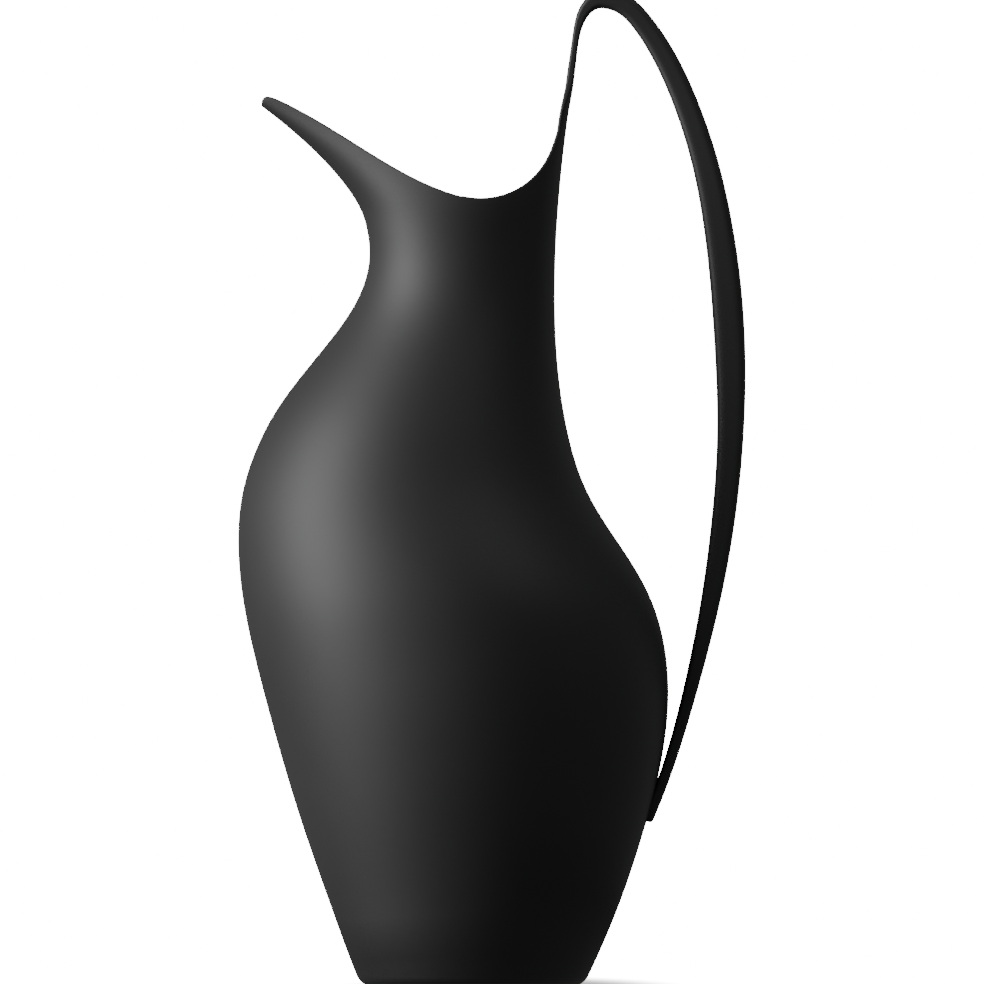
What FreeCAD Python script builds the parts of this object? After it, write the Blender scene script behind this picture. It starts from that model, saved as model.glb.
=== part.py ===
"""A tall spouted jug of thin coated steel: two body halves, a base plate and a looped handle.

Millimetres. +Z is up, the spout points to -X and the handle is on the +X side.
The origin is on the table, in the middle of the ring that the jug stands on.
"""
import FreeCAD, Part
import math
import os

import Sketcher
from FreeCAD import Vector

# Every size of the jug that can be set by itself.
SIZES = [
    # foot
    ("base_radius", 32.45, "plan radius at the table, before the corner is rounded"),
    ("base_corner", 3.0, "rounding between the foot and the wall"),
    ("base_opening", 24.0, "radius of the hole inside the turned-in flange"),
    ("plate_thickness", 1.0, "sheet of the base plate"),
    ("plate_rise", 2.2, "how far the middle of the base plate is raised"),
    ("plate_slope", 4.0, "width of the slope up to the raised middle"),
    ("plate_gap", 0.3, "gap between the base plate's edge and the rounded corner"),
    # belly
    ("wall", 1.0, "sheet of the body"),
    ("belly_front", 68.24, "reach of the belly towards the spout"),
    ("belly_front_height", 131.0, "height of that reach"),
    ("belly_rear", 57.22, "reach of the belly towards the handle"),
    ("belly_rear_height", 86.5, "height of that reach"),
    ("belly_side", 61.0, "half the depth of the belly"),
    ("belly_side_height", 99.0, "height of that depth"),
    # neck
    ("neck_front", 29.98, "reach of the neck towards the spout"),
    ("neck_front_height", 214.5, "height of the slimmest place in front"),
    ("neck_rear", 24.1, "reach of the neck towards the handle"),
    ("neck_rear_height", 203.0, "height of the slimmest place at the back"),
    ("neck_side", 26.6, "half the depth of the neck"),
    # spout and mouth
    ("nose_reach", 59.15, "middle of the rounded end of the spout"),
    ("nose_height", 257.2, "height of that middle"),
    ("nose_radius", 2.4, "rounding of the spout's end, seen from the side"),
    ("nose_side", 6.0, "half the width of the spout's underside where its line runs out"),
    ("spout_overrun", 5.1, "how far the spout's line runs on above the nose"),
    ("mouth_low_height", 229.4, "lowest point of the rim"),
    ("mouth_low_place", 2.6, "how far behind the middle that point is"),
    ("tongue_height", 249.3, "height of the joint between tongue and handle"),
    ("tongue_depth", 2.87, "depth of the curved tongue there, front to back"),
    # handle
    ("jug_height", 290.0, "height of the whole jug, to the top of the handle"),
    ("loop_place", 38.9, "how far behind the middle the top of the loop is"),
    ("handle_reach", 75.45, "centre line of the handle where it is rearmost"),
    ("handle_reach_height", 170.2, "height of that place"),
    ("foot_height", 48.0, "height of the handle's lower end"),
    ("stem_run", 3.0, "how far the handle's centre line starts below the joint"),
    ("stem_thickness", 2.1, "thickness of the strap above the mouth"),
    ("grip_thickness", 8.8, "greatest thickness of the grip"),
    ("foot_thickness", 3.0, "thickness of the handle's lower end"),
    ("tongue_width", 15.8, "width of the handle at the joint with the tongue"),
    ("stem_width", 13.2, "width of the strap"),
    ("grip_width", 12.0, "width of the grip"),
    ("foot_width", 8.0, "width of the handle's lower end"),
    ("grip_wall", 1.0, "sheet of the hollow grip"),
    ("spigot_length", 8.0, "how deep the stem and the foot go into the grip"),
    ("spigot_gap", 0.1, "gap between a spigot and the inside of the grip"),
]

# Where along the handle's length the hollow grip starts and ends, and where it is thickest.
GRIP_START_SHARE = 0.193
GRIP_END_SHARE = 0.765
GRIP_THICKEST_SHARE = 0.489
STEM_SHARE = 0.065
STEM_END_SHARE = 0.108

# Outlines of the body as (height share, reach share) between one named place and the next.
FRONT_FOOT_SHARES = [
    (0.05, 0.074), (0.18, 0.249), (0.36, 0.479), (0.54, 0.679), (0.70, 0.836), (0.85, 0.955),
]
FRONT_SHOULDER_SHARES = [
    (0.11, 0.017), (0.22, 0.070), (0.32, 0.152), (0.42, 0.263),
    (0.55, 0.462), (0.68, 0.691), (0.82, 0.900),
]
FRONT_SPOUT_SHARES = [(0.10, 0.013), (0.22, 0.051), (0.40, 0.182), (0.60, 0.399), (0.80, 0.674)]
REAR_FOOT_SHARES = [(0.08, 0.134), (0.25, 0.388), (0.50, 0.687), (0.75, 0.912)]
REAR_SHOULDER_SHARES = [
    (0.12, 0.042), (0.24, 0.176), (0.33, 0.355), (0.41, 0.543),
    (0.50, 0.724), (0.62, 0.867), (0.78, 0.964),
]
REAR_TONGUE_SHARES = [(0.25, 0.075), (0.50, 0.272), (0.75, 0.568)]
SIDE_FOOT_SHARES = [(0.10, 0.155), (0.29, 0.412), (0.48, 0.642), (0.67, 0.830), (0.85, 0.956)]
SIDE_SHOULDER_SHARES = [
    (0.12, 0.017), (0.24, 0.115), (0.40, 0.305), (0.56, 0.500), (0.72, 0.738), (0.88, 0.942),
]
SIDE_SPOUT_SHARES = [
    (0.15, 0.015), (0.31, 0.040), (0.51, 0.165), (0.66, 0.335), (0.80, 0.570), (0.90, 0.775),
]

# How far the outlines lean outwards above the rim, as a share of the height there.
SPOUT_LEAN_SHARE = 2.05
REAR_LEAN_SHARE = 0.0915

# Seen from the side, the rounded end of the spout starts, passes and ends at these angles.
NOSE_ANGLES = (205, 150, 90)

# The rim seen from the side, as (reach share, rise share) from its lowest point.
RIM_FRONT_SHARES = [(0.841, 0.836), (0.608, 0.547), (0.318, 0.199), (0.189, 0.083)]
RIM_REAR_SHARES = [(0.443, 0.126), (0.608, 0.246), (0.763, 0.422), (0.864, 0.598), (0.934, 0.774)]

# The handle's centre line as (reach share, height share) between one named place and the next.
HANDLE_RISE_SHARES = [
    (0.109, 0.286), (0.162, 0.429), (0.231, 0.587), (0.305, 0.745),
    (0.405, 0.861), (0.603, 0.957), (0.782, 0.992),
]
HANDLE_SHOULDER_SHARES = [
    (0.173, 0.019), (0.275, 0.051), (0.367, 0.090), (0.521, 0.174), (0.647, 0.265),
    (0.793, 0.406), (0.891, 0.552), (0.954, 0.700), (0.989, 0.850),
]
HANDLE_SWEEP_SHARES = [
    (0.026, 0.144), (0.096, 0.287), (0.204, 0.431), (0.346, 0.572), (0.518, 0.713), (0.719, 0.852),
]

# The handle's thickness as (length share, thickness share) between two named thicknesses.
THICKNESS_TONGUE_SHARES = [(0.30, 0.450), (0.60, 0.850)]
THICKNESS_RISE_SHARES = [
    (0.048, 0.160), (0.088, 0.336), (0.130, 0.468), (0.172, 0.530), (0.220, 0.548),
    (0.321, 0.616), (0.525, 0.733), (0.785, 0.903),
]
THICKNESS_FALL_SHARES = [
    (0.110, 0.052), (0.225, 0.200), (0.456, 0.434), (0.650, 0.719), (0.804, 0.914), (0.918, 0.990),
]

# Between the strap's thickness and the grip's, the thickness at the top of the loop.
LOOP_THICKNESS_SHARE = 0.425

# Where along its length the handle has the grip's width, and how square its section is.
WIDTH_SHARES = (0.25, 0.44, 0.64)
SQUARENESS = 5.0

# How finely the curved forms are measured off.
BODY_LEVELS = 26
BODY_POINTS = 14
CORNER_STEPS = 4
SMALL_STEP = 0.001
DEPTH_TURNS = 4
HANDLE_TURN = math.radians(8)
HANDLE_STEP_SHARE = 0.35
SECTION_POINTS = 18
DEGREE = 3

doc = FreeCAD.newDocument("jug")


# Spreadsheet

sheet = doc.addObject("Spreadsheet::Sheet", "sizes")
for row, (name, value, note) in enumerate(SIZES, start=1):
    sheet.set(f"A{row}", name)
    sheet.set(f"B{row}", str(value))
    sheet.set(f"C{row}", note)
    sheet.setAlias(f"B{row}", name)
doc.recompute()


def size(name):
    return float(sheet.get(name))


# Lines that the forms follow

def line_through(points):
    """A smooth line of (place, value) points. Its parameter is the place."""
    curve = Part.BSplineCurve()
    places = [place for place, value in points]
    curve.interpolate(Points=[Vector(value, 0, place) for place, value in points], Parameters=places)
    return lambda place: curve.value(place).x


def between(start, end, shares):
    """The points that shares put between two places, with the start and without the end."""
    points = [start]
    for first_share, second_share in shares:
        first = start[0] + (end[0] - start[0]) * first_share
        second = start[1] + (end[1] - start[1]) * second_share
        points.append((first, second))
    return points


form_top = max(size("nose_height"), size("tongue_height")) + size("spout_overrun")
foot = (0, size("base_radius"))

front_belly = (size("belly_front_height"), size("belly_front"))
front_neck = (size("neck_front_height"), size("neck_front"))
front_end = (form_top, size("nose_reach") + size("spout_overrun") * SPOUT_LEAN_SHARE)
front_reach = line_through(
    between(foot, front_belly, FRONT_FOOT_SHARES)
    + between(front_belly, front_neck, FRONT_SHOULDER_SHARES)
    + between(front_neck, front_end, FRONT_SPOUT_SHARES)
    + [front_end]
)

rear_belly = (size("belly_rear_height"), size("belly_rear"))
rear_neck = (size("neck_rear_height"), size("neck_rear"))
rear_lean = (form_top - size("neck_rear_height")) * REAR_LEAN_SHARE
rear_end = (form_top, size("neck_rear") + rear_lean)
rear_reach = line_through(
    between(foot, rear_belly, REAR_FOOT_SHARES)
    + between(rear_belly, rear_neck, REAR_SHOULDER_SHARES)
    + between(rear_neck, rear_end, REAR_TONGUE_SHARES)
    + [rear_end]
)

side_belly = (size("belly_side_height"), size("belly_side"))
side_neck = (size("neck_front_height"), size("neck_side"))
side_end = (form_top, size("nose_side"))
side_reach = line_through(
    between(foot, side_belly, SIDE_FOOT_SHARES)
    + between(side_belly, side_neck, SIDE_SHOULDER_SHARES)
    + between(side_neck, side_end, SIDE_SPOUT_SHARES)
    + [side_end]
)


# Body form

def body_point(angle, level):
    """A point of the jug's outside: angle 0 is at the back and half a turn is at the spout."""
    front = front_reach(level)
    rear = rear_reach(level)
    middle = (rear - front) / 2
    neck_level = min(level, size("neck_front_height"))
    widest = (rear_reach(neck_level) - front_reach(neck_level)) / 2
    across = middle + (rear + front) / 2 * math.cos(angle) + (widest - middle) * math.sin(angle) ** 2
    return Vector(across, side_reach(level) * math.sin(angle), level)


def body_normal(angle, level):
    """The outward direction of the jug's outside there."""
    around = body_point(angle + SMALL_STEP, level) - body_point(angle - SMALL_STEP, level)
    upwards = body_point(angle, level + SMALL_STEP) - body_point(angle, level - SMALL_STEP)
    return around.cross(upwards).normalize()


def skin_point(angle, height, depth):
    """A point at this height, depth under the outside measured square to it."""
    level = height
    if depth == 0:
        return body_point(angle, level)
    for turn in range(DEPTH_TURNS):
        level = height + depth * body_normal(angle, level).z
        level = min(max(level, 0), form_top)
    point = body_point(angle, level) - body_normal(angle, level) * depth
    return Vector(point.x, point.y, height)


def face_through(rows):
    """One smooth face through rows of points."""
    surface = Part.BSplineSurface()
    surface.interpolate(rows)
    return surface.toShape()


def face_along(rows):
    """One smooth face that follows rows of points without ever swelling past them."""
    knots, repeats = [], []
    for count in (len(rows), len(rows[0])):
        knots.append(list(range(count - DEGREE + 1)))
        repeats.append([DEGREE + 1] + [1] * (count - DEGREE - 1) + [DEGREE + 1])
    surface = Part.BSplineSurface()
    surface.buildFromPolesMultsKnots(
        rows, repeats[0], repeats[1], knots[0], knots[1], False, False, DEGREE, DEGREE
    )
    return surface.toShape()


def flat_face(edges):
    return Part.Face(Part.Wire(Part.__sortEdges__(edges)))


def solid_of(faces):
    shell = Part.Shell(faces)
    shell.sewShape()
    solid = Part.Solid(shell)
    if solid.Volume < 0:
        solid.reverse()
    return solid


def face_bounds(face, rows):
    """The face's four edges: its first row, its last row, the rows' starts and the rows' ends."""
    corners = [rows[0][0], rows[0][-1], rows[-1][0], rows[-1][-1]]
    bounds = {}
    for edge in face.Edges:
        ends = []
        for vertex in (edge.firstVertex(), edge.lastVertex()):
            distances = [corner.distanceToPoint(vertex.Point) for corner in corners]
            ends.append(distances.index(min(distances)))
        bounds[frozenset(ends)] = edge
    return [bounds[frozenset(pair)] for pair in ((0, 1), (2, 3), (0, 2), (1, 3))]


def half_form(rows):
    """A solid between the plane through spout and handle and a smooth face through rows.

    Each row runs from that plane round to the plane again.
    """
    face = face_through(rows)
    first_row, last_row, row_starts, row_ends = face_bounds(face, rows)
    first_line = Part.makeLine(rows[0][0], rows[0][-1])
    last_line = Part.makeLine(rows[-1][0], rows[-1][-1])
    return solid_of([
        face,
        flat_face([first_row, first_line]),
        flat_face([last_row, last_line]),
        flat_face([row_starts, first_line, row_ends, last_line]),
    ])


def half_shell(outer_rows, inner_rows):
    """Half of a hollow bar, between two smooth faces through rows, open at both ends."""
    outer = face_along(outer_rows)
    inner = face_along(inner_rows)
    faces = [outer, inner]
    corner_pairs = [(0, 0), (0, -1), (-1, 0), (-1, -1)]
    short = {}
    for row, place in corner_pairs:
        short[row, place] = Part.makeLine(outer_rows[row][place], inner_rows[row][place])
    outer_bounds = face_bounds(outer, outer_rows)
    inner_bounds = face_bounds(inner, inner_rows)
    short_pairs = [((0, 0), (0, -1)), ((-1, 0), (-1, -1)), ((0, 0), (-1, 0)), ((0, -1), (-1, -1))]
    for outer_edge, inner_edge, (first, second) in zip(outer_bounds, inner_bounds, short_pairs):
        faces.append(flat_face([outer_edge, short[first], inner_edge, short[second]]))
    return solid_of(faces)


def stepped_form(stretches):
    """A solid bar of stretches end to end, each a pair of left and right rows of its own width."""
    faces = []
    ends = []
    for left_rows, right_rows in stretches:
        left = face_along(left_rows)
        right = face_along(right_rows)
        faces += [left, right]
        left_bounds = face_bounds(left, left_rows)
        right_bounds = face_bounds(right, right_rows)
        ends.append(Part.Wire([left_bounds[0], right_bounds[0]]))
        ends.append(Part.Wire([left_bounds[1], right_bounds[1]]))
    faces.append(Part.Face(ends[0]))
    for here, there in zip(ends[1:-1:2], ends[2:-1:2]):
        wires = sorted([here, there], key=lambda wire: wire.Length, reverse=True)
        faces.append(Part.Face(wires[0]).cut(Part.Face(wires[1])).Faces[0])
    faces.append(Part.Face(ends[-1]))
    return solid_of(faces)


def body_row(side, height, depth, pull):
    """Half of the body's outline at this height, depth under the outside and pulled inwards."""
    row = []
    for place in range(BODY_POINTS + 1):
        point = skin_point(math.pi * place / BODY_POINTS, height, depth)
        inwards = Vector(-point.x, -point.y, 0).normalize()
        point = point + inwards * pull
        row.append(Vector(point.x, side * point.y, point.z))
    row[0].y = 0
    row[-1].y = 0
    return row


def body_half(side, depth):
    """Half of the body as one solid, depth under the outside, on the side of the sign given."""
    corner = size("base_corner") - depth
    rows = []
    for number in range(CORNER_STEPS):
        turn = math.pi / 2 * number / CORNER_STEPS
        height = depth + corner * (1 - math.cos(turn))
        rows.append(body_row(side, height, depth, corner * (1 - math.sin(turn))))
    start = depth + corner
    for number in range(BODY_LEVELS + 1):
        height = start + (form_top - start) * number / BODY_LEVELS
        rows.append(body_row(side, height, depth, 0))
    return half_form(rows)


def add_form(name, shape):
    """A form that other objects are cut from."""
    form = doc.addObject("Part::Feature", name)
    form.Shape = shape
    return form


def add_cut(name, base, tool):
    cut = doc.addObject("Part::Cut", name)
    cut.Base = base
    cut.Tool = tool
    return cut


# What the mouth takes away: all above the rim, the rounded spout end and the joint with the handle

def mouth_outline():
    low = (size("mouth_low_place"), size("mouth_low_height"))
    nose = (-size("nose_reach"), size("nose_height") + size("nose_radius"))
    joint_height = size("tongue_height")
    joint = (rear_reach(joint_height) - size("tongue_depth"), joint_height)
    front = between(low, nose, RIM_FRONT_SHARES)[1:]
    rear = between(low, joint, RIM_REAR_SHARES)[1:]
    rim_points = [nose] + front + [low] + rear + [joint]
    rim = Part.BSplineCurve()
    rim.interpolate(Points=[Vector(across, 0, height) for across, height in rim_points])

    middle = Vector(-size("nose_reach"), 0, size("nose_height"))
    nose_places = []
    for angle in NOSE_ANGLES:
        turn = math.radians(angle)
        nose_places.append(middle + Vector(math.cos(turn), 0, math.sin(turn)) * size("nose_radius"))
    nose_arc = Part.Arc(*nose_places)

    far = size("belly_front") + size("handle_reach")
    top = form_top + size("spout_overrun")
    corners = [
        Vector(joint[0], 0, joint[1]),
        Vector(far, 0, joint[1]),
        Vector(far, 0, top),
        Vector(-far, 0, top),
        Vector(-far, 0, size("mouth_low_height")),
        nose_places[0],
    ]
    edges = [nose_arc.toShape(), rim.toShape()]
    for start, end in zip(corners, corners[1:]):
        edges.append(Part.makeLine(start, end))
    return Part.Wire(Part.__sortEdges__(edges))


mouth_profile = add_form("mouth_profile", Part.Face(mouth_outline()))
mouth_cutter = doc.addObject("Part::Extrusion", "mouth_cutter")
mouth_cutter.Base = mouth_profile
mouth_cutter.Dir = Vector(0, 1, 0)
mouth_cutter.setExpression("LengthFwd", "sizes.belly_side * 2")
mouth_cutter.Symmetric = True
mouth_cutter.Solid = True

base_hole = doc.addObject("Part::Cylinder", "base_hole")
base_hole.setExpression("Radius", "sizes.base_opening")
base_hole.setExpression("Height", "sizes.wall * 3")
base_hole.setExpression("Placement.Base.z", "-sizes.wall")


# Body shells

outer_forms = {}
body_shells = []
for label, side in (("left_body_shell", -1), ("right_body_shell", 1)):
    outer = add_form(label + "_outside", body_half(side, 0))
    inner = add_form(label + "_inside", body_half(side, size("wall")))
    hollow = add_cut(label + "_hollow", outer, inner)
    open_top = add_cut(label + "_open_top", hollow, mouth_cutter)
    shell = add_cut(label, open_top, base_hole)
    shell.Label = label
    outer_forms[label] = outer
    body_shells.append(shell)


# Base plate

plate = doc.addObject("PartDesign::Body", "base_plate")
plate.Label = "base_plate"
profile = plate.newObject("Sketcher::SketchObject", "plate_profile")
for feature in plate.Origin.OriginFeatures:
    if feature.Role == "XZ_Plane":
        profile.AttachmentSupport = [(feature, "")]
profile.MapMode = "FlatFace"

plate_radius = size("base_radius") - size("base_corner") - size("plate_gap")
slope_start = size("base_opening") - size("plate_gap")
slope_end = slope_start - size("plate_slope")
low = size("wall")
high = low + size("plate_rise")
thick = size("plate_thickness")
corners = [
    (0, high),
    (slope_end, high),
    (slope_start, low),
    (plate_radius, low),
    (plate_radius, low + thick),
    (slope_start, low + thick),
    (slope_end, high + thick),
    (0, high + thick),
]
for start, end in zip(corners, corners[1:] + corners[:1]):
    profile.addGeometry(Part.LineSegment(Vector(*start, 0), Vector(*end, 0)), False)
for number in range(len(corners)):
    following = (number + 1) % len(corners)
    profile.addConstraint(Sketcher.Constraint("Coincident", number, 2, following, 1))
UNDER_HIGH, UNDER_SLOPE, UNDER_LOW, EDGE, TOP_LOW, TOP_SLOPE, TOP_HIGH, AXIS = range(len(corners))
for number in (UNDER_HIGH, UNDER_LOW, TOP_LOW, TOP_HIGH):
    profile.addConstraint(Sketcher.Constraint("Horizontal", number))
profile.addConstraint(Sketcher.Constraint("Vertical", EDGE))
for number in (UNDER_HIGH, AXIS):
    profile.addConstraint(Sketcher.Constraint("PointOnObject", number, 1, -2))

PLATE_RADIUS = "sizes.base_radius - sizes.base_corner - sizes.plate_gap"
SLOPE_START = "sizes.base_opening - sizes.plate_gap"
SLOPE_END = SLOPE_START + " - sizes.plate_slope"
LOW = "sizes.wall"
HIGH = "sizes.wall + sizes.plate_rise"
THICK = " + sizes.plate_thickness"
plate_ties = [
    ("DistanceX", UNDER_HIGH, slope_end, SLOPE_END),
    ("DistanceX", UNDER_SLOPE, slope_start, SLOPE_START),
    ("DistanceX", UNDER_LOW, plate_radius, PLATE_RADIUS),
    ("DistanceX", TOP_LOW, slope_start, SLOPE_START),
    ("DistanceX", TOP_SLOPE, slope_end, SLOPE_END),
    ("DistanceY", UNDER_HIGH, high, HIGH),
    ("DistanceY", UNDER_SLOPE, low, LOW),
    ("DistanceY", EDGE, low + thick, LOW + THICK),
    ("DistanceY", TOP_SLOPE, high + thick, HIGH + THICK),
]
for kind, line, value, expression in plate_ties:
    place = profile.addConstraint(Sketcher.Constraint(kind, -1, 1, line, 2, value))
    profile.setExpression(f"Constraints[{place}]", expression)

turned = plate.newObject("PartDesign::Revolution", "plate_turned")
turned.Profile = profile
turned.ReferenceAxis = (profile, ["V_Axis"])
turned.Angle = 360


# Handle lines

def smooth_path(points):
    """A smooth curve through (across, height) points, whose parameter runs from 0 to 1 along it."""
    lengths = [0]
    for start, end in zip(points, points[1:]):
        lengths.append(lengths[-1] + math.dist(start, end))
    curve = Part.BSplineCurve()
    curve.interpolate(
        Points=[Vector(across, 0, height) for across, height in points],
        Parameters=[length / lengths[-1] for length in lengths],
    )
    return curve


start_height = size("tongue_height") - size("stem_run")
handle_start = (rear_reach(start_height) - size("wall") / 2, start_height)
swelling = size("grip_thickness") - size("stem_thickness")
loop_thickness = size("stem_thickness") + swelling * LOOP_THICKNESS_SHARE
loop_top = (size("loop_place"), size("jug_height") - loop_thickness / 2)
handle_back = (size("handle_reach"), size("handle_reach_height"))
handle_end = (rear_reach(size("foot_height")), size("foot_height"))
handle_path = smooth_path(
    between(handle_start, loop_top, HANDLE_RISE_SHARES)
    + between(loop_top, handle_back, HANDLE_SHOULDER_SHARES)
    + between(handle_back, handle_end, HANDLE_SWEEP_SHARES)
    + [handle_end]
)

joint_share = size("stem_run") / handle_path.length()
at_start = (0, size("wall"))
at_joint = (joint_share, size("wall"))
at_stem = (STEM_SHARE, size("stem_thickness"))
at_stem_end = (STEM_END_SHARE, size("stem_thickness"))
at_grip = (GRIP_THICKEST_SHARE, size("grip_thickness"))
at_foot = (1, size("foot_thickness"))
thickness_along = line_through(
    [at_start]
    + between(at_joint, at_stem, THICKNESS_TONGUE_SHARES)
    + [at_stem]
    + between(at_stem_end, at_grip, THICKNESS_RISE_SHARES)
    + between(at_grip, at_foot, THICKNESS_FALL_SHARES)
    + [at_foot]
)
width_along = line_through([
    (0, size("tongue_width")),
    (joint_share, size("tongue_width")),
    (STEM_SHARE, size("stem_width")),
    (STEM_END_SHARE, size("stem_width")),
    *[(share, size("grip_width")) for share in WIDTH_SHARES],
    (1, size("foot_width")),
])


def tongue_curl():
    """How strongly the tongue is curled across its width at the joint, as one over its radius."""
    back = body_point(0, size("tongue_height"))
    beside = body_point(SMALL_STEP, size("tongue_height"))
    return 2 * (back.x - beside.x) / beside.y ** 2


joint_curl = tongue_curl()


def curl_along(share):
    """The curl of the handle's section, which fades out as the strap leaves the tongue."""
    fade = min(max((STEM_SHARE - share) / (STEM_SHARE - joint_share), 0), 1)
    return joint_curl * fade * fade * (3 - 2 * fade)


def handle_row(share, depth, side):
    """Half of the handle's section at this share of its length, depth under its surface."""
    middle = handle_path.value(share)
    forward = handle_path.tangent(share)[0]
    inward = Vector(0, 1, 0).cross(forward)
    half_width = width_along(share) / 2 - depth
    half_thickness = thickness_along(share) / 2 - depth
    curl = curl_along(share)
    row = []
    for number in range(SECTION_POINTS + 1):
        turn = math.pi * number / SECTION_POINTS
        cosine, sine = math.cos(turn), math.sin(turn)
        reach = (abs(cosine) ** SQUARENESS + abs(sine) ** SQUARENESS) ** (-1 / SQUARENESS)
        across = half_width * sine * reach
        through = half_thickness * cosine * reach - curl * across ** 2 / 2
        row.append(middle + Vector(0, side * across, 0) + inward * through)
    row[0].y = 0
    row[-1].y = 0
    return row


def handle_stations(first, last):
    """Shares of the handle's length from first to last, closer together where it bends more."""
    stations = [first]
    stretch_length = (last - first) * handle_path.length()
    longest = min(size("grip_width") * HANDLE_STEP_SHARE, stretch_length / (DEGREE + 1))
    while stations[-1] < last:
        radius = 1 / max(handle_path.curvature(stations[-1]), 1 / size("jug_height"))
        step = min(radius * HANDLE_TURN, longest)
        stations.append(stations[-1] + step / handle_path.length())
    stretch = (last - first) / (stations[-1] - first)
    return [first + (station - first) * stretch for station in stations]


def handle_rows(side, first, last, depth=0):
    return [handle_row(share, depth, side) for share in handle_stations(first, last)]


def both_sides(first, last, depth=0):
    return handle_rows(-1, first, last, depth), handle_rows(1, first, last, depth)


# Handle pieces

spigot_share = size("spigot_length") / handle_path.length()
spigot_depth = size("grip_wall") + size("spigot_gap")

stem_rows = both_sides(joint_share, GRIP_START_SHARE)
along = handle_path.tangent(joint_share)[0]
for rows in stem_rows:
    rows[0] = [point + along * ((size("tongue_height") - point.z) / along.z) for point in rows[0]]
stem_spigot_rows = both_sides(GRIP_START_SHARE, GRIP_START_SHARE + spigot_share, spigot_depth)
handle_stem = add_form("handle_stem", stepped_form([stem_rows, stem_spigot_rows]))
handle_stem.Label = "handle_stem"

grip_shells = []
for label, side in (("handle_left_shell", -1), ("handle_right_shell", 1)):
    outer_rows = handle_rows(side, GRIP_START_SHARE, GRIP_END_SHARE)
    inner_rows = handle_rows(side, GRIP_START_SHARE, GRIP_END_SHARE, size("grip_wall"))
    grip_shell = add_form(label, half_shell(outer_rows, inner_rows))
    grip_shell.Label = label
    grip_shells.append(grip_shell)

foot_rows = both_sides(GRIP_END_SHARE, 1)
foot_spigot_rows = both_sides(GRIP_END_SHARE - spigot_share, GRIP_END_SHARE, spigot_depth)
foot_whole = add_form("foot_whole", stepped_form([foot_spigot_rows, foot_rows]))
foot_beside_left = add_cut("foot_beside_left", foot_whole, outer_forms["left_body_shell"])
handle_foot = add_cut("handle_foot", foot_beside_left, outer_forms["right_body_shell"])
handle_foot.Label = "handle_foot"


# Check and write

doc.recompute()
for item in doc.Objects:
    if "Invalid" in item.State or "Error" in item.State:
        raise RuntimeError(f"{item.Label} failed: {item.State}")

os.makedirs("parts", exist_ok=True)
nodes = body_shells + [plate, handle_stem] + grip_shells + [handle_foot]
for node in nodes:
    shape = node.Shape
    if shape.isNull() or not shape.isValid() or len(shape.Solids) != 1:
        raise RuntimeError(f"{node.Label} is not one valid solid")
    shape.exportStep(f"parts/{node.Label}.step")
    print(node.Label, "volume", round(shape.Volume / 1000, 2), "cm3")
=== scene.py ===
"""The jug of the photograph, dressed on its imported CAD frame.

The jug's own lengths are in millimetres until its mesh is made, and the studio's are in metres.
"""
import math

import bmesh
import bpy
import numpy as np
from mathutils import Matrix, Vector


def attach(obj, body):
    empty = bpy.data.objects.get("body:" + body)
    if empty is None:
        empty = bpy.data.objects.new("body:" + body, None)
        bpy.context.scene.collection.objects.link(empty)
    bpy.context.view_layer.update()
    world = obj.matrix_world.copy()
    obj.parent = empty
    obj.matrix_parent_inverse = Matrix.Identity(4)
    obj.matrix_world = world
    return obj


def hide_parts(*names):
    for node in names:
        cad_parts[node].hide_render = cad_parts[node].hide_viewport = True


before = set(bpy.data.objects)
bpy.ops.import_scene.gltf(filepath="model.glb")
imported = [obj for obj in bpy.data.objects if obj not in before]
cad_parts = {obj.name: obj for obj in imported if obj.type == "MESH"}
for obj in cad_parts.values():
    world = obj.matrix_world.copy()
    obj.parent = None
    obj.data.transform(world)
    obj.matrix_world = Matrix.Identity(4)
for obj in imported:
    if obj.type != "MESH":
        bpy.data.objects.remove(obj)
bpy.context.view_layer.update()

MM = 0.001

# The jug's named sizes, as in the model.
BASE_RADIUS = 32.45
BASE_CORNER = 3.0
BASE_OPENING = 24.0
WALL = 1.0
NECK_LEVEL = 214.5
NOSE = (-59.15, 257.2)
NOSE_RADIUS = 2.4
NOSE_SIDE = 6.0
FORM_TOP = 262.3
RIM_LOW = (2.6, 229.4)
TONGUE_HEIGHT = 249.3
TONGUE_DEPTH = 2.87
JUG_HEIGHT = 290.0
FRONT_SLOPE = 2.05
REAR_SLOPE = 0.0915
STRAP_THICKNESS = 2.1
GRIP_THICKNESS = 8.8
END_THICKNESS = 3.0
JOINT_RUN = 3.0
LOOP_ACROSS = 38.9
HANDLE_BACK = (75.45, 170.2)
HANDLE_END_HEIGHT = 48.0


# Lines that the forms follow. Each runs through named points, and through inner points that are given as
# shares of the way between two of them.

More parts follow.
